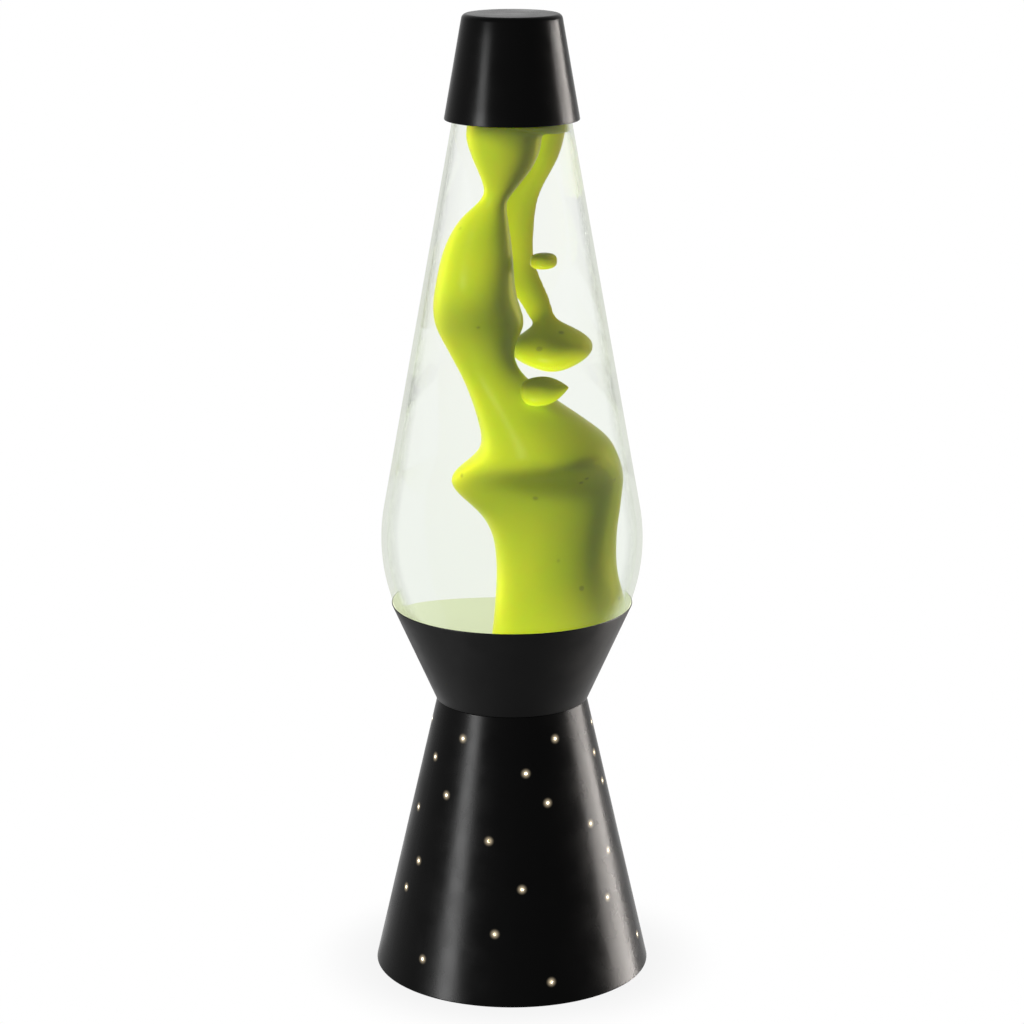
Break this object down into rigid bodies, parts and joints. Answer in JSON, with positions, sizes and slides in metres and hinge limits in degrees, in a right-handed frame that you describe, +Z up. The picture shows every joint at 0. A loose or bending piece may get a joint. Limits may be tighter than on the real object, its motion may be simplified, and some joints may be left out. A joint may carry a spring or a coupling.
{
  "type": "lava lamp",
  "caption": "Lava lamp: tapered glass globe of liquid and wax held in a flared cup on a pin-holed cone with the bulb inside, and a loose cap over its neck.",
  "frame": {"origin": "on the axis of the lamp, in the plane its feet stand on", "axes": "+Z up along the axis of the lamp, -Y towards the front, cord inlet on the +Y side"},
  "size_m": [0.1242, 0.1242, 0.432],
  "materials": {
    "cap_paint": "satin black over spun aluminium",
    "cup_paint": "satin black over spun aluminium",
    "cone_paint": "gloss black over spun aluminium",
    "globe_glass": "clear soda-lime container glass",
    "liquid": "clear water-based liquid",
    "wax": "translucent yellow-green wax, lit from below",
    "tinplate": "bright tinned steel",
    "liner": "moulded liner",
    "coil_wire": "drawn spring wire",
    "rivet_alloy": "headed",
    "zinc_plate": "zinc plated sheet",
    "foot_rubber": "moulded",
    "grommet_nylon": "moulded",
    "socket_porcelain": "glazed",
    "socket_brass": "pressed",
    "screw_steel": "zinc plated",
    "bulb_aluminium": "rolled shell",
    "bulb_vitrite": "black glass insulator",
    "solder": "soft solder",
    "bulb_glass": "clear blown glass",
    "lead_nickel": "nickel wire",
    "filament": "tungsten coil, glowing"
  },
  "bodies": {
    "base": {"base_cone": "cone_paint", "cup": "cup_paint", "waist_rivets": "rivet_alloy", "bottom_plate": "zinc_plate", "rubber_feet": "foot_rubber", "cord_grommet": "grommet_nylon", "socket_bracket": "zinc_plate", "bracket_rivets": "rivet_alloy", "socket_screws": "screw_steel", "socket_body": "socket_porcelain", "socket_shell": "socket_brass", "socket_contact": "socket_brass", "terminal_screws": "socket_brass"},
    "globe": {"globe_glass": "globe_glass", "liquid": "liquid", "wax_pool": "wax", "wax_top": "wax", "wax_column": "wax", "wax_strand": "wax", "heat_coil": "coil_wire", "crown_cap": "tinplate", "crown_liner": "liner"},
    "cap": {"cap": "cap_paint"},
    "bulb_foot": {"bulb_tip": "solder"},
    "bulb": {"bulb_glass": "bulb_glass", "bulb_shell": "bulb_aluminium", "bulb_insulator": "bulb_vitrite", "bulb_stem": "bulb_glass", "bulb_leads": "lead_nickel", "bulb_filament": "filament"},
    "drop_upper": {"wax_drop_upper": "wax"},
    "drop_lower": {"wax_drop_lower": "wax"}
  },
  "joints": [
    {"name": "globe_lift", "type": "slide", "parent": "base", "child": "globe", "axis": [0, 0, 1], "range_m": [0, 0.06]},
    {"name": "cap_lift", "type": "slide", "parent": "globe", "child": "cap", "axis": [0, 0, 1], "range_m": [0, 0.06]},
    {"name": "bulb_travel", "type": "slide", "parent": "base", "child": "bulb_foot", "axis": [0, 0, 1], "range_m": [0, 0.00908]},
    {"name": "bulb_turn", "type": "hinge", "parent": "bulb_foot", "child": "bulb", "pos_m": [0, 0, 0.06], "axis": [0, 0, 1], "range_deg": [0, 900]},
    {"name": "drop_upper_drift", "type": "slide", "parent": "globe", "child": "drop_upper", "axis": [0, 0, 1], "range_m": [-0.02, 0.02]},
    {"name": "drop_lower_drift", "type": "slide", "parent": "globe", "child": "drop_lower", "axis": [0, 0, 1], "range_m": [-0.002, 0.028]}
  ],
  "couplings": [
    {"joint": "bulb_travel", "follows": "bulb_turn", "m_per_rad": 0.00057773}
  ]
}
